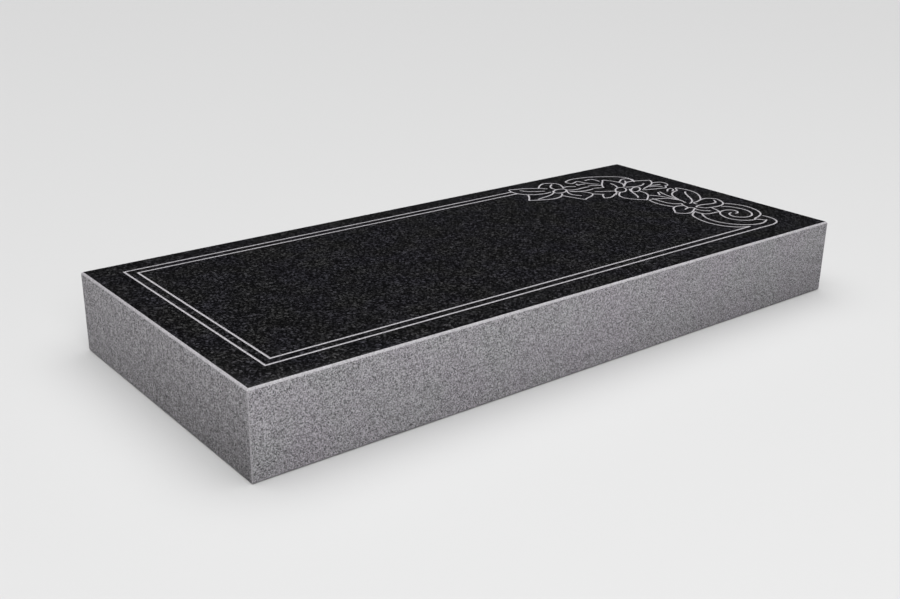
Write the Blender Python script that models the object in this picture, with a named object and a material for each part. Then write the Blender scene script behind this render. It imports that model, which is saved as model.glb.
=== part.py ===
"""Flat grave marker: one granite slab with a polished top, sawn sides and a blasted border of lilies.

X runs across the slab to a reader's right, Y runs up to its head and Z is up. The origin is the centre of the
underside, sizes are in metres, and the ornament is drawn in hundredths of the border's width.
"""
import math

import bmesh
import bpy

SLAB_LENGTH = 0.9144
SLAB_WIDTH = 0.4064
SLAB_THICKNESS = 0.1016

# Arrises: the light chamfer round the top, and the small ones on the upright edges and round the base
TOP_ARRIS = 0.0022
CORNER_ARRIS = 0.0008
BASE_ARRIS = 0.002

# Blasted lines: width at the surface, depth, and the distance between the two lines of the border
LINE_WIDTH = 0.0026
LINE_DEPTH = 0.0008
LINE_SPACING = 0.0122

# Border: from the slab's edges to the outer line, and from the head to the ornament's highest line
LEFT_MARGIN = 0.0309
RIGHT_MARGIN = 0.0380
FOOT_MARGIN = 0.0411
HEAD_MARGIN = 0.0287

# A curved stroke gets one step for each of these turns, and a straight one gets one step in all
DEGREES_PER_STEP = 10.0
FINE_STEPS = 48
STROKE_TOP = 0.0006

BORDER_WIDTH = SLAB_WIDTH - LEFT_MARGIN - RIGHT_MARGIN
HUNDREDTH = BORDER_WIDTH / 100.0
RIGHT_OUTER = 100.0
LEFT_INNER = LINE_SPACING / HUNDREDTH
RIGHT_INNER = RIGHT_OUTER - LEFT_INNER
FOOT_OUTER = (SLAB_LENGTH - HEAD_MARGIN - FOOT_MARGIN) / HUNDREDTH
FOOT_INNER = FOOT_OUTER - LEFT_INNER


# Strokes. A point is (across from the left outer line, down from the ornament's highest line).

def bowed(start, end, near=0.0, far=0.0):
    """A stroke that bows left of its way, by near a third along and far two thirds along, in its length."""
    run = end[0] - start[0]
    drop = end[1] - start[1]
    first = 3.0 * near - 1.5 * far
    second = 3.0 * far - 1.5 * near

    def place(share):
        rest = 1.0 - share
        bow = 3.0 * rest * share * (rest * first + share * second)
        return (start[0] + run * share + drop * bow, start[1] + drop * share - run * bow)

    return place


def arm(centre, heading, turn, radii):
    """A scroll's arm round its centre, from a heading clockwise from up, through radii at equal turns."""
    last = len(radii) - 1

    def place(share):
        at = share * last
        step = min(int(at), last - 1)
        part = at - step
        before, near, far, after = (radii[min(max(step + k, 0), last)] for k in (-1, 0, 1, 2))
        curve = 3.0 * (near - far) + after - before
        bend = 2.0 * before - 5.0 * near + 4.0 * far - after
        radius = near + 0.5 * part * (far - before + part * (bend + part * curve))
        angle = math.radians(heading + turn * share)
        return (centre[0] + radius * math.sin(angle), centre[1] - radius * math.cos(angle))

    return place


def arm_to(centre, heading, end, radii):
    """An arm that runs anticlockwise from a heading and stops at a given point."""
    across = end[0] - centre[0]
    up = centre[1] - end[1]
    turn = math.degrees(math.atan2(across, up)) - heading
    return arm(centre, heading, turn, radii + (math.hypot(across, up),))


def bud(centre, half_width, half_height, lean):
    """An oval bud, leaning clockwise by some degrees."""
    cosine = math.cos(math.radians(lean))
    sine = math.sin(math.radians(lean))

    def place(share):
        angle = math.tau * share
        across = half_width * math.sin(angle)
        down = -half_height * math.cos(angle)
        return (centre[0] + across * cosine - down * sine, centre[1] + across * sine + down * cosine)

    return place


def petal(tip, left, right, vein=None):
    """A pointed petal: two sides that meet at its tip, each (root, near, far), and a vein with its ends."""
    strokes = [bowed(left[0], tip, *left[1:]), bowed(right[0], tip, *right[1:])]
    if vein:
        strokes.append(bowed(*vein))
    return strokes


def lower_flower():
    """The lily at the foot of the ornament, whose lowest petal ends on the border's left lines."""
    strokes = petal((-2.3, 46.7), ((2.2, 54.1), 0.06, 0.08), ((9.2, 45.2), -0.27, -0.33),
                    ((0.8, 44.5), (8.7, 49.4), -0.14, -0.17))
    strokes += petal((15.0, 71.4), ((15.0, 51.6), 0.21, 0.15), ((7.7, 65.4), 0.03, 0.03),
                     ((9.4, 52.0), (15.9, 66.9), 0.12, 0.07))
    strokes += petal((28.2, 50.0), ((22.6, 40.4), 0.09, 0.03), ((17.8, 53.9), -0.01, -0.01),
                     ((11.0, 45.2), (22.7, 46.8), -0.18, -0.24))
    strokes += [
        bowed((14.6, 46.6), (22.6, 40.4), 0.13, 0.13),
        bowed((5.5, 51.6), (-3.2, 67.2), -0.08, -0.07),
        bowed((10.3, 53.8), (7.7, 65.4), 0.10, 0.10),
        bowed((0.1, 63.7), (7.6, 55.3), -0.13, -0.09),
        lower_flower_hem(),
        bud((11.5, 49.6), 2.5, 3.8, -18.0),
    ]
    return strokes


def lower_flower_hem():
    """The blunt end of the lily's lowest petal, where the border's two left lines begin."""
    return bowed((-3.2, 67.2), (7.7, 65.4), -0.17, -0.16)


def corner_flower():
    """The large lily in the corner."""
    strokes = petal((21.9, 2.1), ((21.6, 18.4), 0.21, 0.14), ((30.9, 15.9), -0.08, -0.12),
                    ((24.4, 8.6), (24.0, 20.4), 0.16, 0.14))
    strokes += petal((44.4, 28.2), ((32.5, 20.2), 0.16, 0.11), ((28.4, 28.1), -0.35, -0.30),
                     ((27.2, 21.1), (39.7, 28.8), -0.02, 0.02))
    strokes += petal((31.5, 41.4), ((29.0, 31.5), 0.07, 0.13), ((26.5, 37.1), -0.07, -0.05))
    strokes += petal((9.1, 20.0), ((19.0, 29.2), 0.05, 0.03), ((22.0, 19.3), -0.22, -0.18),
                     ((15.2, 21.3), (22.2, 24.0), 0.07, 0.08))
    strokes += [
        bud((26.0, 25.5), 2.4, 4.2, -38.0),
        bud((29.4, 19.4), 1.9, 4.3, -34.0),
        bowed((25.5, 28.8), (30.4, 33.4), 0.07, 0.07),
        bowed((25.9, 29.0), (21.3, 37.5), 0.02, 0.02),
        bowed((15.9, 12.3), (23.1, 20.6), 0.05, 0.03),
        bowed((16.2, 7.6), (20.0, 10.3), 0.02, 0.02),
        bowed((13.3, 12.0), (16.2, 7.6), 0.20, 0.24),
        bowed((13.3, 12.0), (16.4, 16.8), 0.01, 0.01),
    ]
    return strokes + frilled_petal()


def frilled_petal():
    """The corner lily's turned petal, with a frill at its top and folds inside."""
    return [
        bowed((25.9, 4.6), (32.2, 1.1), 0.33, 0.355),
        bowed((32.2, 1.1), (33.1, 4.0), 0.12, 0.12),
        bowed((33.1, 4.0), (35.6, 6.3), 0.12, 0.12),
        bowed((35.6, 6.3), (31.4, 17.4), 0.02, 0.05),
        bowed((28.7, 9.2), (30.1, 3.6), -0.02, -0.02),
        bowed((29.8, 11.2), (33.2, 5.6), 0.08, 0.08),
    ]


def top_flower():
    """The lily at the head, with its long petal to the left and a leaf below it."""
    strokes = petal((38.2, 2.5), ((41.7, 5.2), 0.03, 0.03), ((58.4, 9.2), -0.17, -0.19),
                    ((45.2, 3.9), (59.3, 17.6), 0.02, 0.085))
    strokes += petal((61.5, 1.9), ((59.2, 15.2), 0.10, 0.21), ((67.9, 17.5), -0.23, -0.27),
                     ((61.7, 4.4), (65.2, 19.6), 0.15, -0.02))
    strokes += petal((65.2, 33.5), ((65.4, 21.0), 0.20, 0.29), ((59.9, 22.2), -0.225, -0.14),
                     ((65.4, 21.0), (64.4, 26.3), -0.30, -0.22))
    strokes += [
        bowed((51.6, 16.0), (41.7, 5.2), 0.15, 0.16),
        bowed((69.0, 14.5), (75.2, 16.9), 0.02, 0.05),
        bowed((75.0, 16.8), (68.5, 25.0), 0.24, 0.35),
        bowed((65.2, 21.3), (72.1, 18.8), -0.21, -0.19),
        bowed((65.0, 18.8), (67.9, 17.5), 0.03, 0.03),
        bowed((38.6, 13.6), (57.6, 17.9), -0.02, 0.01),
        bowed((38.4, 14.8), (42.4, 17.6), 0.02, 0.00),
        bowed((44.8, 27.4), (58.5, 26.8), -0.12, -0.12),
        bowed((44.1, 24.6), (57.6, 20.4), -0.13, -0.18),
        bowed((39.7, 22.0), (53.6, 16.8), 0.09, 0.07),
        bowed((44.6, 26.9), (52.0, 17.4), 0.10, 0.16),
        bowed((57.6, 20.4), (63.3, 23.2), -0.06, 0.00),
        bowed((59.6, 15.4), (62.0, 15.7), 0.03, 0.03),
        bowed((40.2, 10.2), (37.6, 5.0), 0.10, 0.13),
        bowed((37.6, 5.0), (41.0, 8.2), 0.18, 0.16),
    ]
    return strokes


def leaves():
    """The long leaf that sweeps round the corner, and the small leaves between the two left lilies."""
    return [
        arm((16.0, 27.0), 235.0, 134.0, (17.5, 16.9, 15.7, 15.5, 15.9, 17.6, 19.6, 17.6)),
        bowed((1.9, 37.1), (4.2, 31.1), -0.42, -0.18),
        bowed((4.2, 31.1), (13.2, 26.8), -0.08, -0.10),
        bowed((5.1, 27.6), (4.6, 23.6), 0.05, 0.03),
        bowed((4.6, 23.6), (9.9, 22.8), 0.08, 0.05),
        bowed((6.9, 34.8), (9.3, 35.8), -0.10, -0.10),
        bowed((9.3, 35.8), (9.0, 31.2), 0.11, 0.01),
        bowed((12.6, 33.0), (15.3, 26.8), 0.04, 0.00),
        bowed((17.1, 33.8), (18.5, 29.6)),
        bowed((23.7, 40.7), (26.6, 37.8)),
        bowed((8.4, 44.8), (10.0, 38.2), 0.16, 0.12),
        bowed((12.3, 45.5), (13.9, 33.5), -0.08, -0.02),
        bowed((15.3, 45.9), (17.3, 34.3), -0.10, -0.10),
    ]


def scrolls():
    """The scroll at the right: a two-armed spiral inside three sweeps that run down into the border."""
    return [
        arm((81.6, 11.9), 241.0, -321.0, (3.1, 4.6, 5.8, 5.7, 5.5, 5.4, 6.1, 8.0, 11.3)),
        arm((79.3, 13.3), 97.0, -365.0, (1.4, 1.9, 2.9, 3.8, 4.2, 5.0, 6.8, 10.3, 12.2)),
        arm((78.5, 12.5), -54.0, 128.0, (12.9, 12.2, 11.9, 11.5, 11.6, 11.7, 11.4)),
        bowed((89.7, 9.3), (91.3, 13.6), -0.08, -0.10),
        arm((82.0, 14.0), 222.0, -150.0, (14.4, 15.1, 15.3, 15.0, 14.9, 14.5, 13.0)),
        bowed((94.5, 11.0), (91.0, 13.9), -0.10, -0.10),
        arm_to((82.3, 16.0), 236.0, (RIGHT_INNER, 23.2), (16.3, 17.6, 17.4, 17.4, 17.4, 17.0)),
        bowed((89.5, 6.4), (RIGHT_OUTER, 20.5), 0.32, 0.25),
    ]


def drop_at(stroke, across):
    """How far down a stroke that runs to the right lies at a distance across."""
    points = [stroke(k / FINE_STEPS) for k in range(FINE_STEPS + 1)]
    for (left, upper), (right, lower) in zip(points, points[1:]):
        if left <= across <= right:
            return upper + (lower - upper) * (across - left) / (right - left)
    return points[-1][1]


def border():
    """The two lines down the sides and across the foot, from the lily's hem round to the scroll."""
    hem = lower_flower_hem()
    overlap = LINE_WIDTH / 2.0 / HUNDREDTH
    outer = (0.0, RIGHT_OUTER, FOOT_OUTER, 20.5)
    inner = (LEFT_INNER, RIGHT_INNER, FOOT_INNER, 23.2)
    strokes = []
    for left, right, foot, top in (outer, inner):
        strokes.append(bowed((left, drop_at(hem, left)), (left, foot + overlap)))
        strokes.append(bowed((left - overlap, foot), (right + overlap, foot)))
        strokes.append(bowed((right, foot + overlap), (right, top)))
    return strokes


# Solids

def corners(stroke):
    """The stroke's points: enough of them that no step turns more than DEGREES_PER_STEP."""
    fine = [stroke(k / FINE_STEPS) for k in range(FINE_STEPS + 1)]
    ways = [math.atan2(b[1] - a[1], b[0] - a[0]) for a, b in zip(fine, fine[1:])]
    turning = sum(abs(math.remainder(b - a, math.tau)) for a, b in zip(ways, ways[1:]))
    steps = 1 + round(math.degrees(turning) / DEGREES_PER_STEP)
    return [stroke(k / steps) for k in range(steps + 1)]


def on_top(point):
    """A point of the drawing on the slab's top face."""
    x = -SLAB_WIDTH / 2.0 + LEFT_MARGIN + point[0] * HUNDREDTH
    y = SLAB_LENGTH / 2.0 - HEAD_MARGIN - point[1] * HUNDREDTH
    return (x, y, SLAB_THICKNESS)


def poly_spline(curve, points, closed):
    """A straight-sided spline through points in a curve."""
    spline = curve.splines.new("POLY")
    spline.points.add(len(points) - 1)
    for target, point in zip(spline.points, points):
        target.co = (*point, 1.0)
    spline.use_cyclic_u = closed


def groove_section():
    """The V that the blasting cuts, as a closed profile that reaches a little above the surface."""
    half = LINE_WIDTH / 2.0 * (1.0 + STROKE_TOP / LINE_DEPTH)
    curve = bpy.data.curves.new("groove_section", "CURVE")
    curve.dimensions = "2D"
    poly_spline(curve, [(-half, STROKE_TOP, 0.0), (half, STROKE_TOP, 0.0), (0.0, -LINE_DEPTH, 0.0)], True)
    section = bpy.data.objects.new("groove_section", curve)
    section.hide_render = True
    section.display_type = "WIRE"
    bpy.context.collection.objects.link(section)
    return section


def groove_cutter(strokes):
    """Every stroke as a V-shaped bar along the top face, with ends that run out to a point."""
    curve = bpy.data.curves.new("strokes", "CURVE")
    curve.dimensions = "3D"
    curve.twist_mode = "Z_UP"
    curve.bevel_mode = "OBJECT"
    curve.bevel_object = groove_section()
    curve.use_fill_caps = True
    for stroke in strokes:
        points = [on_top(point) for point in corners(stroke)]
        closed = math.dist(points[0], points[-1]) < LINE_DEPTH
        poly_spline(curve, points[:-1] if closed else points, closed)
    guide = bpy.data.objects.new("strokes", curve)
    bpy.context.collection.objects.link(guide)
    graph = bpy.context.evaluated_depsgraph_get()
    mesh = bpy.data.meshes.new_from_object(guide.evaluated_get(graph))
    bpy.data.objects.remove(guide)
    shape = bmesh.new()
    shape.from_mesh(mesh)
    bmesh.ops.remove_doubles(shape, verts=shape.verts, dist=1e-6)
    bmesh.ops.recalc_face_normals(shape, faces=shape.faces)
    shape.to_mesh(mesh)
    shape.free()
    cutter = bpy.data.objects.new("groove_cutter", mesh)
    cutter.hide_render = True
    cutter.display_type = "WIRE"
    bpy.context.collection.objects.link(cutter)
    return cutter


def granite():
    """Black granite: a polished top over grey sawn sides."""
    material = bpy.data.materials.new("granite")
    material.use_nodes = True
    shader = material.node_tree.nodes["Principled BSDF"]
    shader.inputs["Base Color"].default_value = (0.030, 0.030, 0.032, 1.0)
    shader.inputs["Roughness"].default_value = 0.2
    shader.inputs["Metallic"].default_value = 0.0
    return material


def bevel_edges(shape, chosen, width):
    """Cut a flat arris of a given width on the edges that chosen picks."""
    edges = [edge for edge in shape.edges if chosen(*(vert.co for vert in edge.verts))]
    bmesh.ops.bevel(shape, geom=edges, offset=width, affect="EDGES", segments=1, profile=0.5, material=-1)


def slab():
    """The plain slab with its arrises."""
    shape = bmesh.new()
    bmesh.ops.create_cube(shape, size=1.0)
    bmesh.ops.scale(shape, vec=(SLAB_WIDTH, SLAB_LENGTH, SLAB_THICKNESS), verts=shape.verts)
    bmesh.ops.translate(shape, vec=(0.0, 0.0, SLAB_THICKNESS / 2.0), verts=shape.verts)
    middle = SLAB_THICKNESS / 2.0
    bevel_edges(shape, lambda a, b: min(a.z, b.z) > middle, TOP_ARRIS)
    bevel_edges(shape, lambda a, b: max(a.z, b.z) < middle, BASE_ARRIS)
    bevel_edges(shape, lambda a, b: abs(a.z - b.z) > middle, CORNER_ARRIS)
    mesh = bpy.data.meshes.new("marker_slab")
    shape.to_mesh(mesh)
    shape.free()
    mesh.materials.append(granite())
    marker = bpy.data.objects.new("marker_slab", mesh)
    bpy.context.collection.objects.link(marker)
    return marker


def main():
    for old in list(bpy.context.scene.objects):
        bpy.data.objects.remove(old)
    marker = slab()
    drawing = lower_flower() + corner_flower() + top_flower() + leaves() + scrolls() + border()
    carve = marker.modifiers.new("carve", "BOOLEAN")
    carve.operation = "DIFFERENCE"
    carve.solver = "EXACT"
    carve.use_self = True
    carve.object = groove_cutter(drawing)


main()
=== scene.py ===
import math

import bmesh
import bpy
from mathutils import Matrix, Vector


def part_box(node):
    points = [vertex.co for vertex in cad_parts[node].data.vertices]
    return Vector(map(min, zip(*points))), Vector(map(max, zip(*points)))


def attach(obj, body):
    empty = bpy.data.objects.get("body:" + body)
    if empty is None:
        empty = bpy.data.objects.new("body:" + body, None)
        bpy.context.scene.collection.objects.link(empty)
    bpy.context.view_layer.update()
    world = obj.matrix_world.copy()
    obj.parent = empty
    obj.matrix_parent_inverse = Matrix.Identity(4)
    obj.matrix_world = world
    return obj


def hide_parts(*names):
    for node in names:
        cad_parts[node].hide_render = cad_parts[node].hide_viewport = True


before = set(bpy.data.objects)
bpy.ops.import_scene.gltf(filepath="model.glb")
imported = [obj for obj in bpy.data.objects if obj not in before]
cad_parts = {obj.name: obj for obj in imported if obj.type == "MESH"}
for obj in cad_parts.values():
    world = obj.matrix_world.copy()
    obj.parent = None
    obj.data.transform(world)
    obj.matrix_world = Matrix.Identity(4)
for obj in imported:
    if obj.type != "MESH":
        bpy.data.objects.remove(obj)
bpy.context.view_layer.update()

SLAB_LOW, SLAB_HIGH = (Vector(corner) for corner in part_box("marker_slab"))
SLAB_SIZE = SLAB_HIGH - SLAB_LOW
TOP = SLAB_HIGH.z

# Arrises, and the small round that handling leaves on every edge
TOP_ARRIS = 0.0022
CORNER_ARRIS = 0.0008
BASE_ARRIS = 0.002
EDGE_ROUND = 0.0003
EDGE_ROUND_STEPS = 2

# Degrees between two faces: from the first on their edge is rounded, from the second on it is shaded sharp
ROUNDED_FROM = 20.0
SHARP_FROM = 25.0

# Which way a face looks, as shares of its normal: up enough to be polished, up enough to belong to the honed arris,
# and both along and across enough to belong to a rubbed one
LOOKS_UP = 0.90
LOOKS_UPWARD = 0.05
LOOKS_CORNERWISE = 0.15
POLISHED, HONED, SAWN, RUBBED = range(4)

# Blasted lines and the border
LINE_WIDTH = 0.0026
LINE_DEPTH = 0.0008
LINE_SPACING = 0.0122
LINE_END = 0.0010
LINE_END_WIDTH = 0.55
LINE_INNER_GAP = 1.5 * LINE_END
STROKE_TOP = 0.0006
SAME_PLACE = 0.000001
LEFT_MARGIN = 0.0309
RIGHT_MARGIN = 0.0380
FOOT_MARGIN = 0.0411
HEAD_MARGIN = 0.0287
DEGREES_PER_STEP = 4.0
FINE_STEPS = 96
SECTION_STEPS = 8

BORDER_WIDTH = SLAB_SIZE.x - LEFT_MARGIN - RIGHT_MARGIN
HUNDREDTH = BORDER_WIDTH / 100.0
RIGHT_OUTER = 100.0
LEFT_INNER = LINE_SPACING / HUNDREDTH
RIGHT_INNER = RIGHT_OUTER - LEFT_INNER
FOOT_OUTER = (SLAB_SIZE.y - HEAD_MARGIN - FOOT_MARGIN) / HUNDREDTH
FOOT_INNER = FOOT_OUTER - LEFT_INNER

# Camera: where the photograph was taken from
CAMERA_PLACE = (1.0644, -0.9034, 0.5566)
CAMERA_HEADING = 51.46
CAMERA_DIP = 20.86
CAMERA_ROLL = 0.80
CAMERA_LENS = 45.24

# Light: the side light, and a dome that is dark below one height and bright above another
SIDE_LIGHT_PLACE = (3.4, -1.2, 2.2)
SIDE_LIGHT_SIZE = 2.0
SIDE_LIGHT_POWER = 55.0
DOME_STRENGTH = 2.2
DOME_DARK_BELOW = 0.60
DOME_BRIGHT_ABOVE = 0.80
DOME_DARK = (0.005, 0.005, 0.0056, 1.0)
DOME_BRIGHT = (1.0, 1.0, 1.0, 1.0)
BACKDROP = (0.30, 0.30, 0.305, 1.0)

# Floor
FLOOR_RADIUS = 14.0
FLOOR_SIDES = 96
FLOOR_COLOUR = (0.62, 0.62, 0.62, 1.0)

# Granite: how fine each feature is, and how deep the pits of the unpolished faces are
GRAIN = 880.0
GRAIN_CRYSTALS = 760.0
POLISHED_FLECKS = 400.0
POLISHED_CLOUDS = 22.0
SAWN_CLOUDS = 16.0
SAW_MARKS = 380.0
SAW_MARK_STRETCH = (1.0, 1.0, 0.22)
HONED_PITS = 500.0
HONED_PIT_DEPTH = 0.0002
SAWN_PITS = 600.0
SAWN_PIT_DEPTH = 0.0004
BLASTED_PITS = 1400.0
BLASTED_PIT_DEPTH = 0.0002

# Painted shade near the ground: how much of it reaches the top of an end and of a long side, and the height share
# where the darkening along every sawn face stops
SHADE_AT_END_TOP = 0.1
SHADE_AT_SIDE_TOP = 0.35
GROUND_SHADE_HEIGHT = 0.75

# Strokes. A point is (across from the left outer line, down from the ornament's highest line).

def bowed(start, end, near=0.0, far=0.0):
    """A stroke that bows left of its way, by near a third along and far two thirds along, in its length."""
    run = end[0] - start[0]
    drop = end[1] - start[1]
    first = 3.0 * near - 1.5 * far
    second = 3.0 * far - 1.5 * near

    def place(share):
        rest = 1.0 - share
        bow = 3.0 * rest * share * (rest * first + share * second)
        return (start[0] + run * share + drop * bow, start[1] + drop * share - run * bow)

    return place


def arm(centre, heading, turn, radii):
    """A scroll's arm round its centre, from a heading clockwise from up, through radii at equal turns."""
    last = len(radii) - 1

    def place(share):
        at = share * last
        step = min(int(at), last - 1)
        part = at - step
        before, near, far, after = (radii[min(max(step + k, 0), last)] for k in (-1, 0, 1, 2))
        curve = 3.0 * (near - far) + after - before
        bend = 2.0 * before - 5.0 * near + 4.0 * far - after
        radius = near + 0.5 * part * (far - before + part * (bend + part * curve))
        angle = math.radians(heading + turn * share)
        return (centre[0] + radius * math.sin(angle), centre[1] - radius * math.cos(angle))

    return place


def arm_to(centre, heading, end, radii):
    """An arm that runs anticlockwise from a heading and stops at a given point."""
    across = end[0] - centre[0]
    up = centre[1] - end[1]
    turn = math.degrees(math.atan2(across, up)) - heading
    return arm(centre, heading, turn, radii + (math.hypot(across, up),))


def bud(centre, half_width, half_height, lean):
    """An oval bud, leaning clockwise by some degrees."""
    cosine = math.cos(math.radians(lean))
    sine = math.sin(math.radians(lean))

    def place(share):
        angle = math.tau * share
        across = half_width * math.sin(angle)
        down = -half_height * math.cos(angle)
        return (centre[0] + across * cosine - down * sine, centre[1] + across * sine + down * cosine)

    return place


def petal(tip, left, right, vein=None):
    """A pointed petal: two sides that meet at its tip, each (root, near, far), and a vein with its ends."""
    strokes = [bowed(left[0], tip, *left[1:]), bowed(right[0], tip, *right[1:])]
    if vein:
        strokes.append(bowed(*vein))
    return strokes


def lower_flower():
    """The lily at the foot of the ornament, whose lowest petal ends on the border's left lines."""
    strokes = petal((-2.3, 46.7), ((2.2, 54.1), 0.06, 0.08), ((9.2, 45.2), -0.27, -0.33),
                    ((0.8, 44.5), (8.7, 49.4), -0.14, -0.17))
    strokes += petal((15.0, 71.4), ((15.0, 51.6), 0.21, 0.15), ((7.7, 65.4), 0.03, 0.03),
                     ((9.4, 52.0), (15.9, 66.9), 0.12, 0.07))
    strokes += petal((28.2, 50.0), ((22.6, 40.4), 0.09, 0.03), ((17.8, 53.9), -0.01, -0.01),
                     ((11.0, 45.2), (22.7, 46.8), -0.18, -0.24))
    strokes += [
        bowed((14.6, 46.6), (22.6, 40.4), 0.13, 0.13),
        bowed((5.5, 51.6), (-3.2, 67.2), -0.08, -0.07),
        bowed((10.3, 53.8), (7.7, 65.4), 0.10, 0.10),
        bowed((0.1, 63.7), (7.6, 55.3), -0.13, -0.09),
        lower_flower_hem(),
        bud((11.5, 49.6), 2.5, 3.8, -18.0),
    ]
    return strokes


def lower_flower_hem():
    """The blunt end of the lily's lowest petal, where the border's two left lines begin."""
    return bowed((-3.2, 67.2), (7.7, 65.4), -0.17, -0.16)


def corner_flower():
    """The large lily in the corner."""
    strokes = petal((21.9, 2.1), ((21.6, 18.4), 0.21, 0.14), ((30.9, 15.9), -0.08, -0.12),
                    ((24.4, 8.6), (24.0, 20.4), 0.16, 0.14))
    strokes += petal((44.4, 28.2), ((32.5, 20.2), 0.16, 0.11), ((28.4, 28.1), -0.35, -0.30),
                     ((27.2, 21.1), (39.7, 28.8), -0.02, 0.02))
    strokes += petal((31.5, 41.4), ((29.0, 31.5), 0.07, 0.13), ((26.5, 37.1), -0.07, -0.05))
    strokes += petal((9.1, 20.0), ((19.0, 29.2), 0.05, 0.03), ((22.0, 19.3), -0.22, -0.18),
                     ((15.2, 21.3), (22.2, 24.0), 0.07, 0.08))
    strokes += [
        bud((26.0, 25.5), 2.4, 4.2, -38.0),
        bud((29.4, 19.4), 1.9, 4.3, -34.0),
        bowed((25.5, 28.8), (30.4, 33.4), 0.07, 0.07),
        bowed((25.9, 29.0), (21.3, 37.5), 0.02, 0.02),
        bowed((15.9, 12.3), (23.1, 20.6), 0.05, 0.03),
        bowed((16.2, 7.6), (20.0, 10.3), 0.02, 0.02),
        bowed((13.3, 12.0), (16.2, 7.6), 0.20, 0.24),
        bowed((13.3, 12.0), (16.4, 16.8), 0.01, 0.01),
    ]
    return strokes + frilled_petal()


def frilled_petal():
    """The corner lily's turned petal, with a frill at its top and folds inside."""
    return [
        bowed((25.9, 4.6), (32.2, 1.1), 0.33, 0.355),
        bowed((32.2, 1.1), (33.1, 4.0), 0.12, 0.12),
        bowed((33.1, 4.0), (35.6, 6.3), 0.12, 0.12),
        bowed((35.6, 6.3), (31.4, 17.4), 0.02, 0.05),
        bowed((28.7, 9.2), (30.1, 3.6), -0.02, -0.02),
        bowed((29.8, 11.2), (33.2, 5.6), 0.08, 0.08),
    ]


def top_flower():
    """The lily at the head, with its long petal to the left and a leaf below it."""
    strokes = petal((38.2, 2.5), ((41.7, 5.2), 0.03, 0.03), ((58.4, 9.2), -0.17, -0.19),
                    ((45.2, 3.9), (59.3, 17.6), 0.02, 0.085))
    strokes += petal((61.5, 1.9), ((59.2, 15.2), 0.10, 0.21), ((67.9, 17.5), -0.23, -0.27),
                     ((61.7, 4.4), (65.2, 19.6), 0.15, -0.02))
    strokes += petal((65.2, 33.5), ((65.4, 21.0), 0.20, 0.29), ((59.9, 22.2), -0.225, -0.14),
                     ((65.4, 21.0), (64.4, 26.3), -0.30, -0.22))
    strokes += [
        bowed((51.6, 16.0), (41.7, 5.2), 0.15, 0.16),
        bowed((69.0, 14.5), (75.2, 16.9), 0.02, 0.05),
        bowed((75.0, 16.8), (68.5, 25.0), 0.24, 0.35),
        bowed((65.2, 21.3), (72.1, 18.8), -0.21, -0.19),
        bowed((65.0, 18.8), (67.9, 17.5), 0.03, 0.03),
        bowed((38.6, 13.6), (57.6, 17.9), -0.02, 0.01),
        bowed((38.4, 14.8), (42.4, 17.6), 0.02, 0.00),
        bowed((44.8, 27.4), (58.5, 26.8), -0.12, -0.12),
        bowed((44.1, 24.6), (57.6, 20.4), -0.13, -0.18),
        bowed((39.7, 22.0), (53.6, 16.8), 0.09, 0.07),
        bowed((44.6, 26.9), (52.0, 17.4), 0.10, 0.16),
        bowed((57.6, 20.4), (63.3, 23.2), -0.06, 0.00),
        bowed((59.6, 15.4), (62.0, 15.7), 0.03, 0.03),
        bowed((40.2, 10.2), (37.6, 5.0), 0.10, 0.13),
        bowed((37.6, 5.0), (41.0, 8.2), 0.18, 0.16),
    ]
    return strokes


def leaves():
    """The long leaf that sweeps round the corner, and the small leaves between the two left lilies."""
    return [
        arm((16.0, 27.0), 235.0, 134.0, (17.5, 16.9, 15.7, 15.5, 15.9, 17.6, 19.6, 17.6)),
        bowed((1.9, 37.1), (4.2, 31.1), -0.42, -0.18),
        bowed((4.2, 31.1), (13.2, 26.8), -0.08, -0.10),
        bowed((5.1, 27.6), (4.6, 23.6), 0.05, 0.03),
        bowed((4.6, 23.6), (9.9, 22.8), 0.08, 0.05),
        bowed((6.9, 34.8), (9.3, 35.8), -0.10, -0.10),
        bowed((9.3, 35.8), (9.0, 31.2), 0.11, 0.01),
        bowed((12.6, 33.0), (15.3, 26.8), 0.04, 0.00),
        bowed((17.1, 33.8), (18.5, 29.6)),
        bowed((23.7, 40.7), (26.6, 37.8)),
        bowed((8.4, 44.8), (10.0, 38.2), 0.16, 0.12),
        bowed((12.3, 45.5), (13.9, 33.5), -0.08, -0.02),
        bowed((15.3, 45.9), (17.3, 34.3), -0.10, -0.10),
    ]


def scrolls():
    """The scroll at the right: a two-armed spiral inside three sweeps that run down into the border."""
    return [
        arm((81.6, 11.9), 241.0, -321.0, (3.1, 4.6, 5.8, 5.7, 5.5, 5.4, 6.1, 8.0, 11.3)),
        arm((79.3, 13.3), 97.0, -365.0, (1.4, 1.9, 2.9, 3.8, 4.2, 5.0, 6.8, 10.3, 12.2)),
        arm((78.5, 12.5), -54.0, 128.0, (12.9, 12.2, 11.9, 11.5, 11.6, 11.7, 11.4)),
        bowed((89.7, 9.3), (91.3, 13.6), -0.08, -0.10),
        arm((82.0, 14.0), 222.0, -150.0, (14.4, 15.1, 15.3, 15.0, 14.9, 14.5, 13.0)),
        bowed((94.5, 11.0), (91.0, 13.9), -0.10, -0.10),
        arm_to((82.3, 16.0), 236.0, (RIGHT_INNER, 23.2), (16.3, 17.6, 17.4, 17.4, 17.4, 17.0)),
        bowed((89.5, 6.4), (RIGHT_OUTER, 20.5), 0.32, 0.25),
    ]


def drop_at(stroke, across):
    """How far down a stroke that runs to the right lies at a distance across."""
    points = [stroke(k / FINE_STEPS) for k in range(FINE_STEPS + 1)]
    for (left, upper), (right, lower) in zip(points, points[1:]):
        if left <= across <= right:
            return upper + (lower - upper) * (across - left) / (right - left)
    return points[-1][1]


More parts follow.
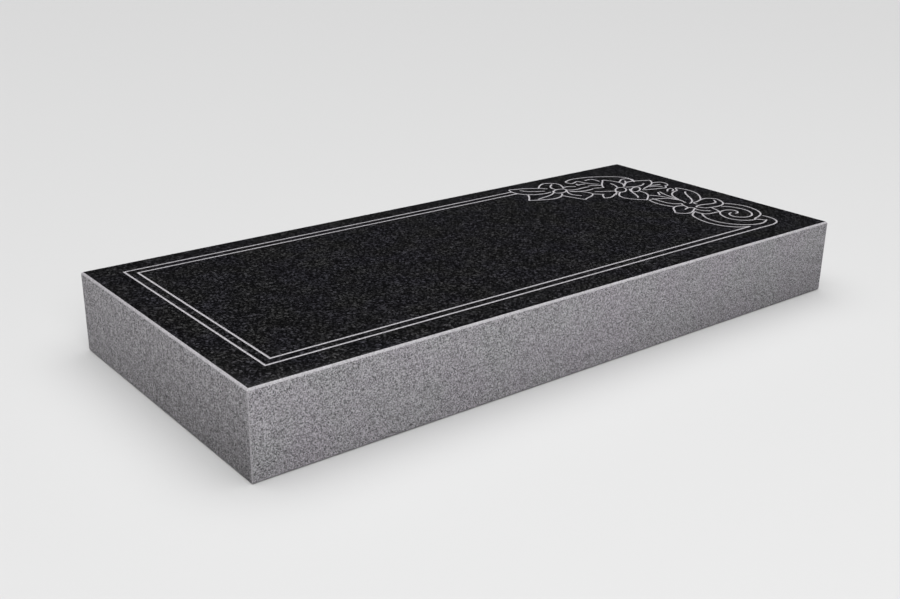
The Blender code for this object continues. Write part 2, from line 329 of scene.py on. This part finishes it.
def border():
    """The two lines down the sides and across the foot, from the lily's hem round to the scroll."""
    hem = lower_flower_hem()
    overlap = LINE_WIDTH / 2.0 / HUNDREDTH
    outer = (0.0, RIGHT_OUTER, FOOT_OUTER, 20.5)
    inner = (LEFT_INNER, RIGHT_INNER, FOOT_INNER, 23.2)
    strokes = []
    for left, right, foot, top in (outer, inner):
        strokes.append(bowed((left, drop_at(hem, left)), (left, foot + overlap)))
        strokes.append(bowed((left - overlap, foot), (right + overlap, foot)))
        strokes.append(bowed((right, foot + overlap), (right, top)))
    return strokes


# The stone

def corners(stroke):
    """The stroke's points: enough of them that no step turns more than DEGREES_PER_STEP."""
    fine = [stroke(k / FINE_STEPS) for k in range(FINE_STEPS + 1)]
    ways = [math.atan2(b[1] - a[1], b[0] - a[0]) for a, b in zip(fine, fine[1:])]
    turning = sum(abs(math.remainder(b - a, math.tau)) for a, b in zip(ways, ways[1:]))
    steps = 1 + round(math.degrees(turning) / DEGREES_PER_STEP)
    return [stroke(k / steps) for k in range(steps + 1)]


def on_top(point):
    """A point of the drawing on the slab's top face."""
    x = SLAB_LOW.x + LEFT_MARGIN + point[0] * HUNDREDTH
    y = SLAB_HIGH.y - HEAD_MARGIN - point[1] * HUNDREDTH
    return Vector((x, y, TOP))


def add_spline(curve, points, radii, closed):
    """A straight-sided spline through points, with a radius at each."""
    spline = curve.splines.new("POLY")
    spline.points.add(len(points) - 1)
    for target, point, radius in zip(spline.points, points, radii):
        target.co = (*point, 1.0)
        target.radius = radius
    spline.use_cyclic_u = closed


def groove_section():
    """The round-bottomed section that the blast leaves, as a closed profile reaching above the surface."""
    half = LINE_WIDTH / 2.0
    points = [Vector((-half, STROKE_TOP, 0.0)), Vector((half, STROKE_TOP, 0.0))]
    for k in range(SECTION_STEPS + 1):
        angle = math.pi * k / SECTION_STEPS
        points.append(Vector((half * math.cos(angle), -LINE_DEPTH * math.sin(angle), 0.0)))
    curve = bpy.data.curves.new("groove_section", "CURVE")
    curve.dimensions = "2D"
    add_spline(curve, points, [1.0] * len(points), True)
    section = bpy.data.objects.new("groove_section", curve)
    bpy.context.collection.objects.link(section)
    return section


def stroke_course(stroke):
    """A stroke's points and radii; an open stroke thins over its last LINE_END, as a stencil's cut does."""
    points = [on_top(point) for point in corners(stroke)]
    closed = (points[0] - points[-1]).length < LINE_DEPTH
    if closed:
        return points[:-1], [1.0] * (len(points) - 1), True
    start, end = points[0], points[-1]
    inner = [p for p in points if min((p - start).length, (p - end).length) > LINE_INNER_GAP]
    after_start = start + ((inner or [end])[0] - start).normalized() * LINE_END
    before_end = end + ((inner or [start])[-1] - end).normalized() * LINE_END
    course = [start, after_start, *inner, before_end, end]
    return course, [LINE_END_WIDTH] + [1.0] * (len(course) - 2) + [LINE_END_WIDTH], False


def groove_cutter(strokes, material):
    """Every stroke as a bar along the top face."""
    section = groove_section()
    curve = bpy.data.curves.new("strokes", "CURVE")
    curve.dimensions = "3D"
    curve.twist_mode = "Z_UP"
    curve.bevel_mode = "OBJECT"
    curve.bevel_object = section
    curve.use_fill_caps = True
    for stroke in strokes:
        add_spline(curve, *stroke_course(stroke))
    guide = bpy.data.objects.new("strokes", curve)
    bpy.context.collection.objects.link(guide)
    mesh = made_mesh(guide)
    bpy.data.objects.remove(guide)
    bpy.data.objects.remove(section)
    shape = bmesh.new()
    shape.from_mesh(mesh)
    bmesh.ops.remove_doubles(shape, verts=shape.verts, dist=SAME_PLACE)
    bmesh.ops.recalc_face_normals(shape, faces=shape.faces)
    shape.to_mesh(mesh)
    shape.free()
    mesh.materials.clear()
    mesh.materials.append(material)
    cutter = bpy.data.objects.new("groove_cutter", mesh)
    bpy.context.collection.objects.link(cutter)
    return cutter


def made_mesh(thing):
    """A thing's mesh with its modifiers applied."""
    graph = bpy.context.evaluated_depsgraph_get()
    return bpy.data.meshes.new_from_object(thing.evaluated_get(graph))


def bevel_edges(shape, edges, width, segments=1):
    """Cut an arris of a given width on some edges."""
    bmesh.ops.bevel(
        shape, geom=edges, offset=width, affect="EDGES", segments=segments, profile=0.5, material=-1
    )


def edges_where(shape, test):
    """The shape's edges whose two ends pass a test."""
    return [edge for edge in shape.edges if test(*(vert.co for vert in edge.verts))]


def sharp_edges(shape):
    """The shape's edges between faces that meet at an angle."""
    return [edge for edge in shape.edges if edge.calc_face_angle() > math.radians(ROUNDED_FROM)]


def finish_faces(shape):
    """Give each face its finish."""
    for face in shape.faces:
        middle = face.calc_center_median()
        if face.normal.z > LOOKS_UP:
            face.material_index = POLISHED
        elif middle.z > TOP - TOP_ARRIS - EDGE_ROUND and face.normal.z > LOOKS_UPWARD:
            face.material_index = HONED
        elif min(abs(face.normal.x), abs(face.normal.y)) > LOOKS_CORNERWISE:
            face.material_index = RUBBED
        else:
            face.material_index = SAWN


def plain_slab(finishes):
    """The slab with its arrises and a small round on every edge."""
    shape = bmesh.new()
    bmesh.ops.create_cube(shape, size=1.0)
    bmesh.ops.scale(shape, vec=SLAB_SIZE, verts=shape.verts)
    bmesh.ops.translate(shape, vec=(SLAB_LOW + SLAB_HIGH) / 2.0, verts=shape.verts)
    middle = (SLAB_LOW.z + SLAB_HIGH.z) / 2.0
    bevel_edges(shape, edges_where(shape, lambda a, b: min(a.z, b.z) > middle), TOP_ARRIS)
    bevel_edges(shape, edges_where(shape, lambda a, b: max(a.z, b.z) < middle), BASE_ARRIS)
    bevel_edges(shape, edges_where(shape, lambda a, b: abs(a.z - b.z) > middle), CORNER_ARRIS)
    bevel_edges(shape, sharp_edges(shape), EDGE_ROUND, EDGE_ROUND_STEPS)
    finish_faces(shape)
    mesh = bpy.data.meshes.new("marker_stone")
    shape.to_mesh(mesh)
    shape.free()
    for material in finishes:
        mesh.materials.append(material)
    slab = bpy.data.objects.new("marker_stone", mesh)
    bpy.context.collection.objects.link(slab)
    return slab


def carved_slab():
    """The finished stone: the slab with every stroke blasted into its polished top."""
    honed = arris_granite("honed granite", grey(0.27), grey(0.53))
    rubbed = arris_granite("rubbed granite", grey(0.20), grey(0.44))
    stone = plain_slab([polished_granite(), honed, sawn_granite(), rubbed])
    drawing = lower_flower() + corner_flower() + top_flower() + leaves() + scrolls() + border()
    cutter = groove_cutter(drawing, blasted_granite())
    carve = stone.modifiers.new("carve", "BOOLEAN")
    carve.operation = "DIFFERENCE"
    carve.solver = "EXACT"
    carve.use_self = True
    carve.material_mode = "TRANSFER"
    carve.object = cutter
    plain = stone.data
    mesh = made_mesh(stone)
    stone.modifiers.clear()
    stone.data = mesh
    bpy.data.meshes.remove(plain)
    bpy.data.objects.remove(cutter)
    mesh.name = "marker_stone"
    mesh.shade_smooth()
    mesh.set_sharp_from_angle(angle=math.radians(SHARP_FROM))
    return stone


# Finishes

def new_material(name):
    """A material with its shader and the piece's own coordinates."""
    material = bpy.data.materials.new(name)
    material.use_nodes = True
    nodes = material.node_tree.nodes
    place = nodes.new("ShaderNodeTexCoord").outputs["Object"]
    return material, nodes["Principled BSDF"], place


def stretched(material, place, scale):
    """The coordinates scaled along each axis."""
    node = material.node_tree.nodes.new("ShaderNodeMapping")
    node.inputs["Scale"].default_value = scale
    material.node_tree.links.new(place, node.inputs["Vector"])
    return node.outputs["Vector"]


def noise(material, place, scale, detail=2.0, roughness=0.5):
    """Soft noise, from 0 to 1."""
    node = material.node_tree.nodes.new("ShaderNodeTexNoise")
    node.inputs["Scale"].default_value = scale
    node.inputs["Detail"].default_value = detail
    node.inputs["Roughness"].default_value = roughness
    material.node_tree.links.new(place, node.inputs["Vector"])
    return node.outputs["Fac"]


def crystals(material, place, scale):
    """One random shade for each crystal, from 0 to 1."""
    node = material.node_tree.nodes.new("ShaderNodeTexVoronoi")
    node.inputs["Scale"].default_value = scale
    material.node_tree.links.new(place, node.inputs["Vector"])
    grey = material.node_tree.nodes.new("ShaderNodeSeparateColor")
    material.node_tree.links.new(node.outputs["Color"], grey.inputs["Color"])
    return grey.outputs["Red"]


def ramp(material, value, stops):
    """Colours at positions along a value."""
    node = material.node_tree.nodes.new("ShaderNodeValToRGB")
    elements = node.color_ramp.elements
    while len(elements) < len(stops):
        elements.new(0.5)
    for element, (position, colour) in zip(elements, stops):
        element.position = position
        element.color = (*colour, 1.0)
    material.node_tree.links.new(value, node.inputs["Fac"])
    return node.outputs["Color"]


def blend(material, share, first, second, way="MIX"):
    """Two colours blended by a share, or a colour changed by another."""
    node = material.node_tree.nodes.new("ShaderNodeMix")
    node.data_type = "RGBA"
    node.blend_type = way
    for value, socket in ((share, 0), (first, 6), (second, 7)):
        if isinstance(value, float):
            node.inputs[socket].default_value = value
        elif isinstance(value, tuple):
            node.inputs[socket].default_value = (*value, 1.0)
        else:
            material.node_tree.links.new(value, node.inputs[socket])
    return node.outputs[2]


def relief(material, shader, height, distance, strength=1.0):
    """Roughen the surface by a height."""
    node = material.node_tree.nodes.new("ShaderNodeBump")
    node.inputs["Strength"].default_value = strength
    node.inputs["Distance"].default_value = distance
    material.node_tree.links.new(height, node.inputs["Height"])
    material.node_tree.links.new(node.outputs["Normal"], shader.inputs["Normal"])


def neutral(level):
    """A plain grey."""
    return (level, level, level)


def grey(level):
    """The stone's grey, a little to the violet."""
    return (level * 1.035, level, level * 1.05)


def granite_grain(material, place, low, high):
    """The salt and pepper of the crystals: a colour from low to high."""
    fine = noise(material, place, GRAIN, 2.0, 0.7)
    coarse = crystals(material, place, GRAIN_CRYSTALS)
    salt = ramp(material, fine, [(0.40, low), (0.60, high)])
    pepper = ramp(material, coarse, [(0.15, low), (0.85, high)])
    return blend(material, 0.5, salt, pepper)


def end_faces(material, place):
    """A mask that is 1 on the foot and head faces and 0 on the long sides."""
    nodes = material.node_tree.nodes
    links = material.node_tree.links
    parts = nodes.new("ShaderNodeSeparateXYZ")
    links.new(place, parts.inputs["Vector"])
    far = nodes.new("ShaderNodeMath")
    far.operation = "ABSOLUTE"
    links.new(parts.outputs["Y"], far.inputs[0])
    mask = nodes.new("ShaderNodeMath")
    mask.operation = "GREATER_THAN"
    mask.inputs[1].default_value = SLAB_HIGH.y - CORNER_ARRIS / 2.0
    links.new(far.outputs[0], mask.inputs[0])
    return mask.outputs[0]


def height_share(material, place):
    """How high a point is, from 0 at the ground to 1 at the top."""
    nodes = material.node_tree.nodes
    links = material.node_tree.links
    parts = nodes.new("ShaderNodeSeparateXYZ")
    links.new(place, parts.inputs["Vector"])
    share = nodes.new("ShaderNodeMath")
    share.operation = "DIVIDE"
    share.inputs[1].default_value = TOP
    links.new(parts.outputs["Z"], share.inputs[0])
    return share.outputs[0]


def painted_shade_corner(material, place, way, start, finish, at_top):
    """How much painted shade a face gets: 0 before the start along X or Y, rising to 1 at the finish on the ground.
    """
    nodes = material.node_tree.nodes
    links = material.node_tree.links
    parts = nodes.new("ShaderNodeSeparateXYZ")
    links.new(place, parts.inputs["Vector"])
    along = nodes.new("ShaderNodeMapRange")
    along.inputs["From Min"].default_value = start
    along.inputs["From Max"].default_value = finish
    links.new(parts.outputs[way], along.inputs["Value"])
    low = nodes.new("ShaderNodeMapRange")
    low.inputs["From Min"].default_value = TOP
    low.inputs["From Max"].default_value = 0.0
    low.inputs["To Min"].default_value = at_top
    links.new(parts.outputs["Z"], low.inputs["Value"])
    both = nodes.new("ShaderNodeMath")
    both.operation = "MULTIPLY"
    links.new(along.outputs["Result"], both.inputs[0])
    links.new(low.outputs["Result"], both.inputs[1])
    return both.outputs[0]


def polished_granite():
    """Polished black, with fine grey flecks in faint bluish clouds."""
    material, shader, place = new_material("polished granite")
    links = material.node_tree.links
    fine = noise(material, place, POLISHED_FLECKS, 2.0, 0.6)
    flecks = ramp(material, fine, [(0.38, neutral(0.001)), (0.53, neutral(0.005)), (0.69, neutral(0.072))])
    shades = crystals(material, place, POLISHED_FLECKS)
    crystal = ramp(material, shades, [(0.2, neutral(0.001)), (0.8, neutral(0.007)), (1.0, neutral(0.088))])
    both = blend(material, 0.5, flecks, crystal)
    soft = noise(material, place, POLISHED_CLOUDS, 3.0)
    clouds = ramp(material, soft, [(0.35, (0.98, 0.96, 1.15)), (0.65, (1.04, 1.03, 1.02))])
    links.new(blend(material, 1.0, both, clouds, "MULTIPLY"), shader.inputs["Base Color"])
    shader.inputs["Roughness"].default_value = 0.13
    shader.inputs["IOR"].default_value = 1.5
    return material


def arris_granite(name, low, high):
    """An arris: pale, with crushed white specks."""
    material, shader, place = new_material(name)
    links = material.node_tree.links
    grain = granite_grain(material, place, low, high)
    links.new(grain, shader.inputs["Base Color"])
    shader.inputs["Roughness"].default_value = 0.6
    relief(material, shader, noise(material, place, HONED_PITS, 3.0), HONED_PIT_DEPTH)
    return material


def sawn_granite():
    """The sawn sides: salt and pepper grey, with upright saw marks on the ends, and painted shade that darkens them
    towards the ground.
    """
    material, shader, place = new_material("sawn granite")
    links = material.node_tree.links
    grain = granite_grain(material, place, grey(0.01), grey(0.57))
    marks = noise(material, stretched(material, place, SAW_MARK_STRETCH), SAW_MARKS, 2.0)
    streaks = ramp(material, marks, [(0.35, neutral(0.87)), (0.65, neutral(1.15))])
    # Painted shade on the ends: darker towards the ground, most of all towards +X.
    right_corner = painted_shade_corner(material, place, "X", SLAB_LOW.x / 2.0, SLAB_HIGH.x, SHADE_AT_END_TOP)
    end_corner_shade = ramp(material, right_corner, [(0.0, neutral(1.0)), (1.0, neutral(0.58))])
    on_ends = blend(material, 1.0, streaks, end_corner_shade, "MULTIPLY")
    soft = noise(material, place, SAWN_CLOUDS, 3.0)
    clouds = ramp(material, soft, [(0.35, (0.93, 0.95, 0.94)), (0.65, (0.965, 0.945, 0.975))])
    # Painted shade on the long sides: darker towards the ground, most of all towards the head.
    head_corner = painted_shade_corner(material, place, "Y", 0.0, SLAB_HIGH.y, SHADE_AT_SIDE_TOP)
    shade = ramp(material, head_corner, [(0.0, neutral(1.0)), (1.0, neutral(0.80))])
    on_sides = blend(material, 1.0, clouds, shade, "MULTIPLY")
    colour = blend(material, end_faces(material, place), on_sides, on_ends)
    # Painted shade on every sawn face: darker towards the ground, up to a set share of its height.
    ground_shade = ramp(material, height_share(material, place), [(0.0, neutral(0.86)), (GROUND_SHADE_HEIGHT, neutral(1.0))])
    shaded = blend(material, 1.0, colour, ground_shade, "MULTIPLY")
    links.new(blend(material, 1.0, grain, shaded, "MULTIPLY"), shader.inputs["Base Color"])
    shader.inputs["Roughness"].default_value = 0.85
    relief(material, shader, noise(material, place, SAWN_PITS, 3.0, 0.7), SAWN_PIT_DEPTH)
    return material


def blasted_granite():
    """The frosted stone inside the blasted lines."""
    material, shader, place = new_material("blasted granite")
    links = material.node_tree.links
    grain = granite_grain(material, place, grey(0.29), grey(0.51))
    links.new(grain, shader.inputs["Base Color"])
    shader.inputs["Roughness"].default_value = 0.9
    relief(material, shader, noise(material, place, BLASTED_PITS, 3.0), BLASTED_PIT_DEPTH)
    return material


# Setting

def floor():
    """A plain pale floor."""
    shape = bmesh.new()
    bmesh.ops.create_circle(shape, cap_ends=True, segments=FLOOR_SIDES, radius=FLOOR_RADIUS)
    mesh = bpy.data.meshes.new("floor")
    shape.to_mesh(mesh)
    shape.free()
    ground = bpy.data.objects.new("floor", mesh)
    bpy.context.collection.objects.link(ground)
    material, shader, _ = new_material("floor")
    shader.inputs["Base Color"].default_value = FLOOR_COLOUR
    shader.inputs["Roughness"].default_value = 0.9
    shader.inputs["Specular IOR Level"].default_value = 0.2
    mesh.materials.append(material)


def aimed(place, target):
    """A turn that points an object's -Z from a place at a target."""
    return (Vector(target) - Vector(place)).to_track_quat("-Z", "Y").to_euler()


def soft_box(name, place, target, size, power):
    """A large soft light."""
    light = bpy.data.lights.new(name, "AREA")
    light.shape = "DISK"
    light.size = size
    light.energy = power
    lamp = bpy.data.objects.new(name, light)
    lamp.location = place
    lamp.rotation_euler = aimed(place, target)
    bpy.context.collection.objects.link(lamp)


def studio():
    """A soft light from the right inside a dome that is bright overhead and dark near the horizon."""
    soft_box("side light", SIDE_LIGHT_PLACE, (0.0, 0.0, 0.0), SIDE_LIGHT_SIZE, SIDE_LIGHT_POWER)
    world = bpy.data.worlds.new("dome")
    world.use_nodes = True
    nodes = world.node_tree.nodes
    links = world.node_tree.links
    way = nodes.new("ShaderNodeTexCoord").outputs["Generated"]
    parts = nodes.new("ShaderNodeSeparateXYZ")
    links.new(way, parts.inputs["Vector"])
    height = nodes.new("ShaderNodeValToRGB")
    height.color_ramp.elements[0].position = DOME_DARK_BELOW
    height.color_ramp.elements[0].color = DOME_DARK
    height.color_ramp.elements[1].position = DOME_BRIGHT_ABOVE
    height.color_ramp.elements[1].color = DOME_BRIGHT
    links.new(parts.outputs["Z"], height.inputs["Fac"])
    seen = nodes.new("ShaderNodeLightPath").outputs["Is Camera Ray"]
    mix = nodes.new("ShaderNodeMix")
    mix.data_type = "RGBA"
    links.new(seen, mix.inputs[0])
    links.new(height.outputs["Color"], mix.inputs[6])
    mix.inputs[7].default_value = BACKDROP
    links.new(mix.outputs[2], nodes["Background"].inputs["Color"])
    nodes["Background"].inputs["Strength"].default_value = DOME_STRENGTH
    bpy.context.scene.world = world


def camera():
    """The photograph's camera."""
    data = bpy.data.cameras.new("camera")
    data.sensor_width = 36.0
    data.lens = CAMERA_LENS
    data.clip_start = 0.02
    eye = bpy.data.objects.new("camera", data)
    heading = Matrix.Rotation(math.radians(CAMERA_HEADING), 4, "Z")
    tilt = Matrix.Rotation(math.radians(90.0 - CAMERA_DIP), 4, "X")
    roll = Matrix.Rotation(math.radians(CAMERA_ROLL), 4, "Z")
    eye.matrix_world = Matrix.Translation(CAMERA_PLACE) @ heading @ tilt @ roll
    bpy.context.collection.objects.link(eye)
    bpy.context.scene.camera = eye


stone = carved_slab()
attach(stone, "root")
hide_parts("marker_slab")
floor()
studio()
camera()
bpy.context.scene.view_settings.view_transform = "Standard"
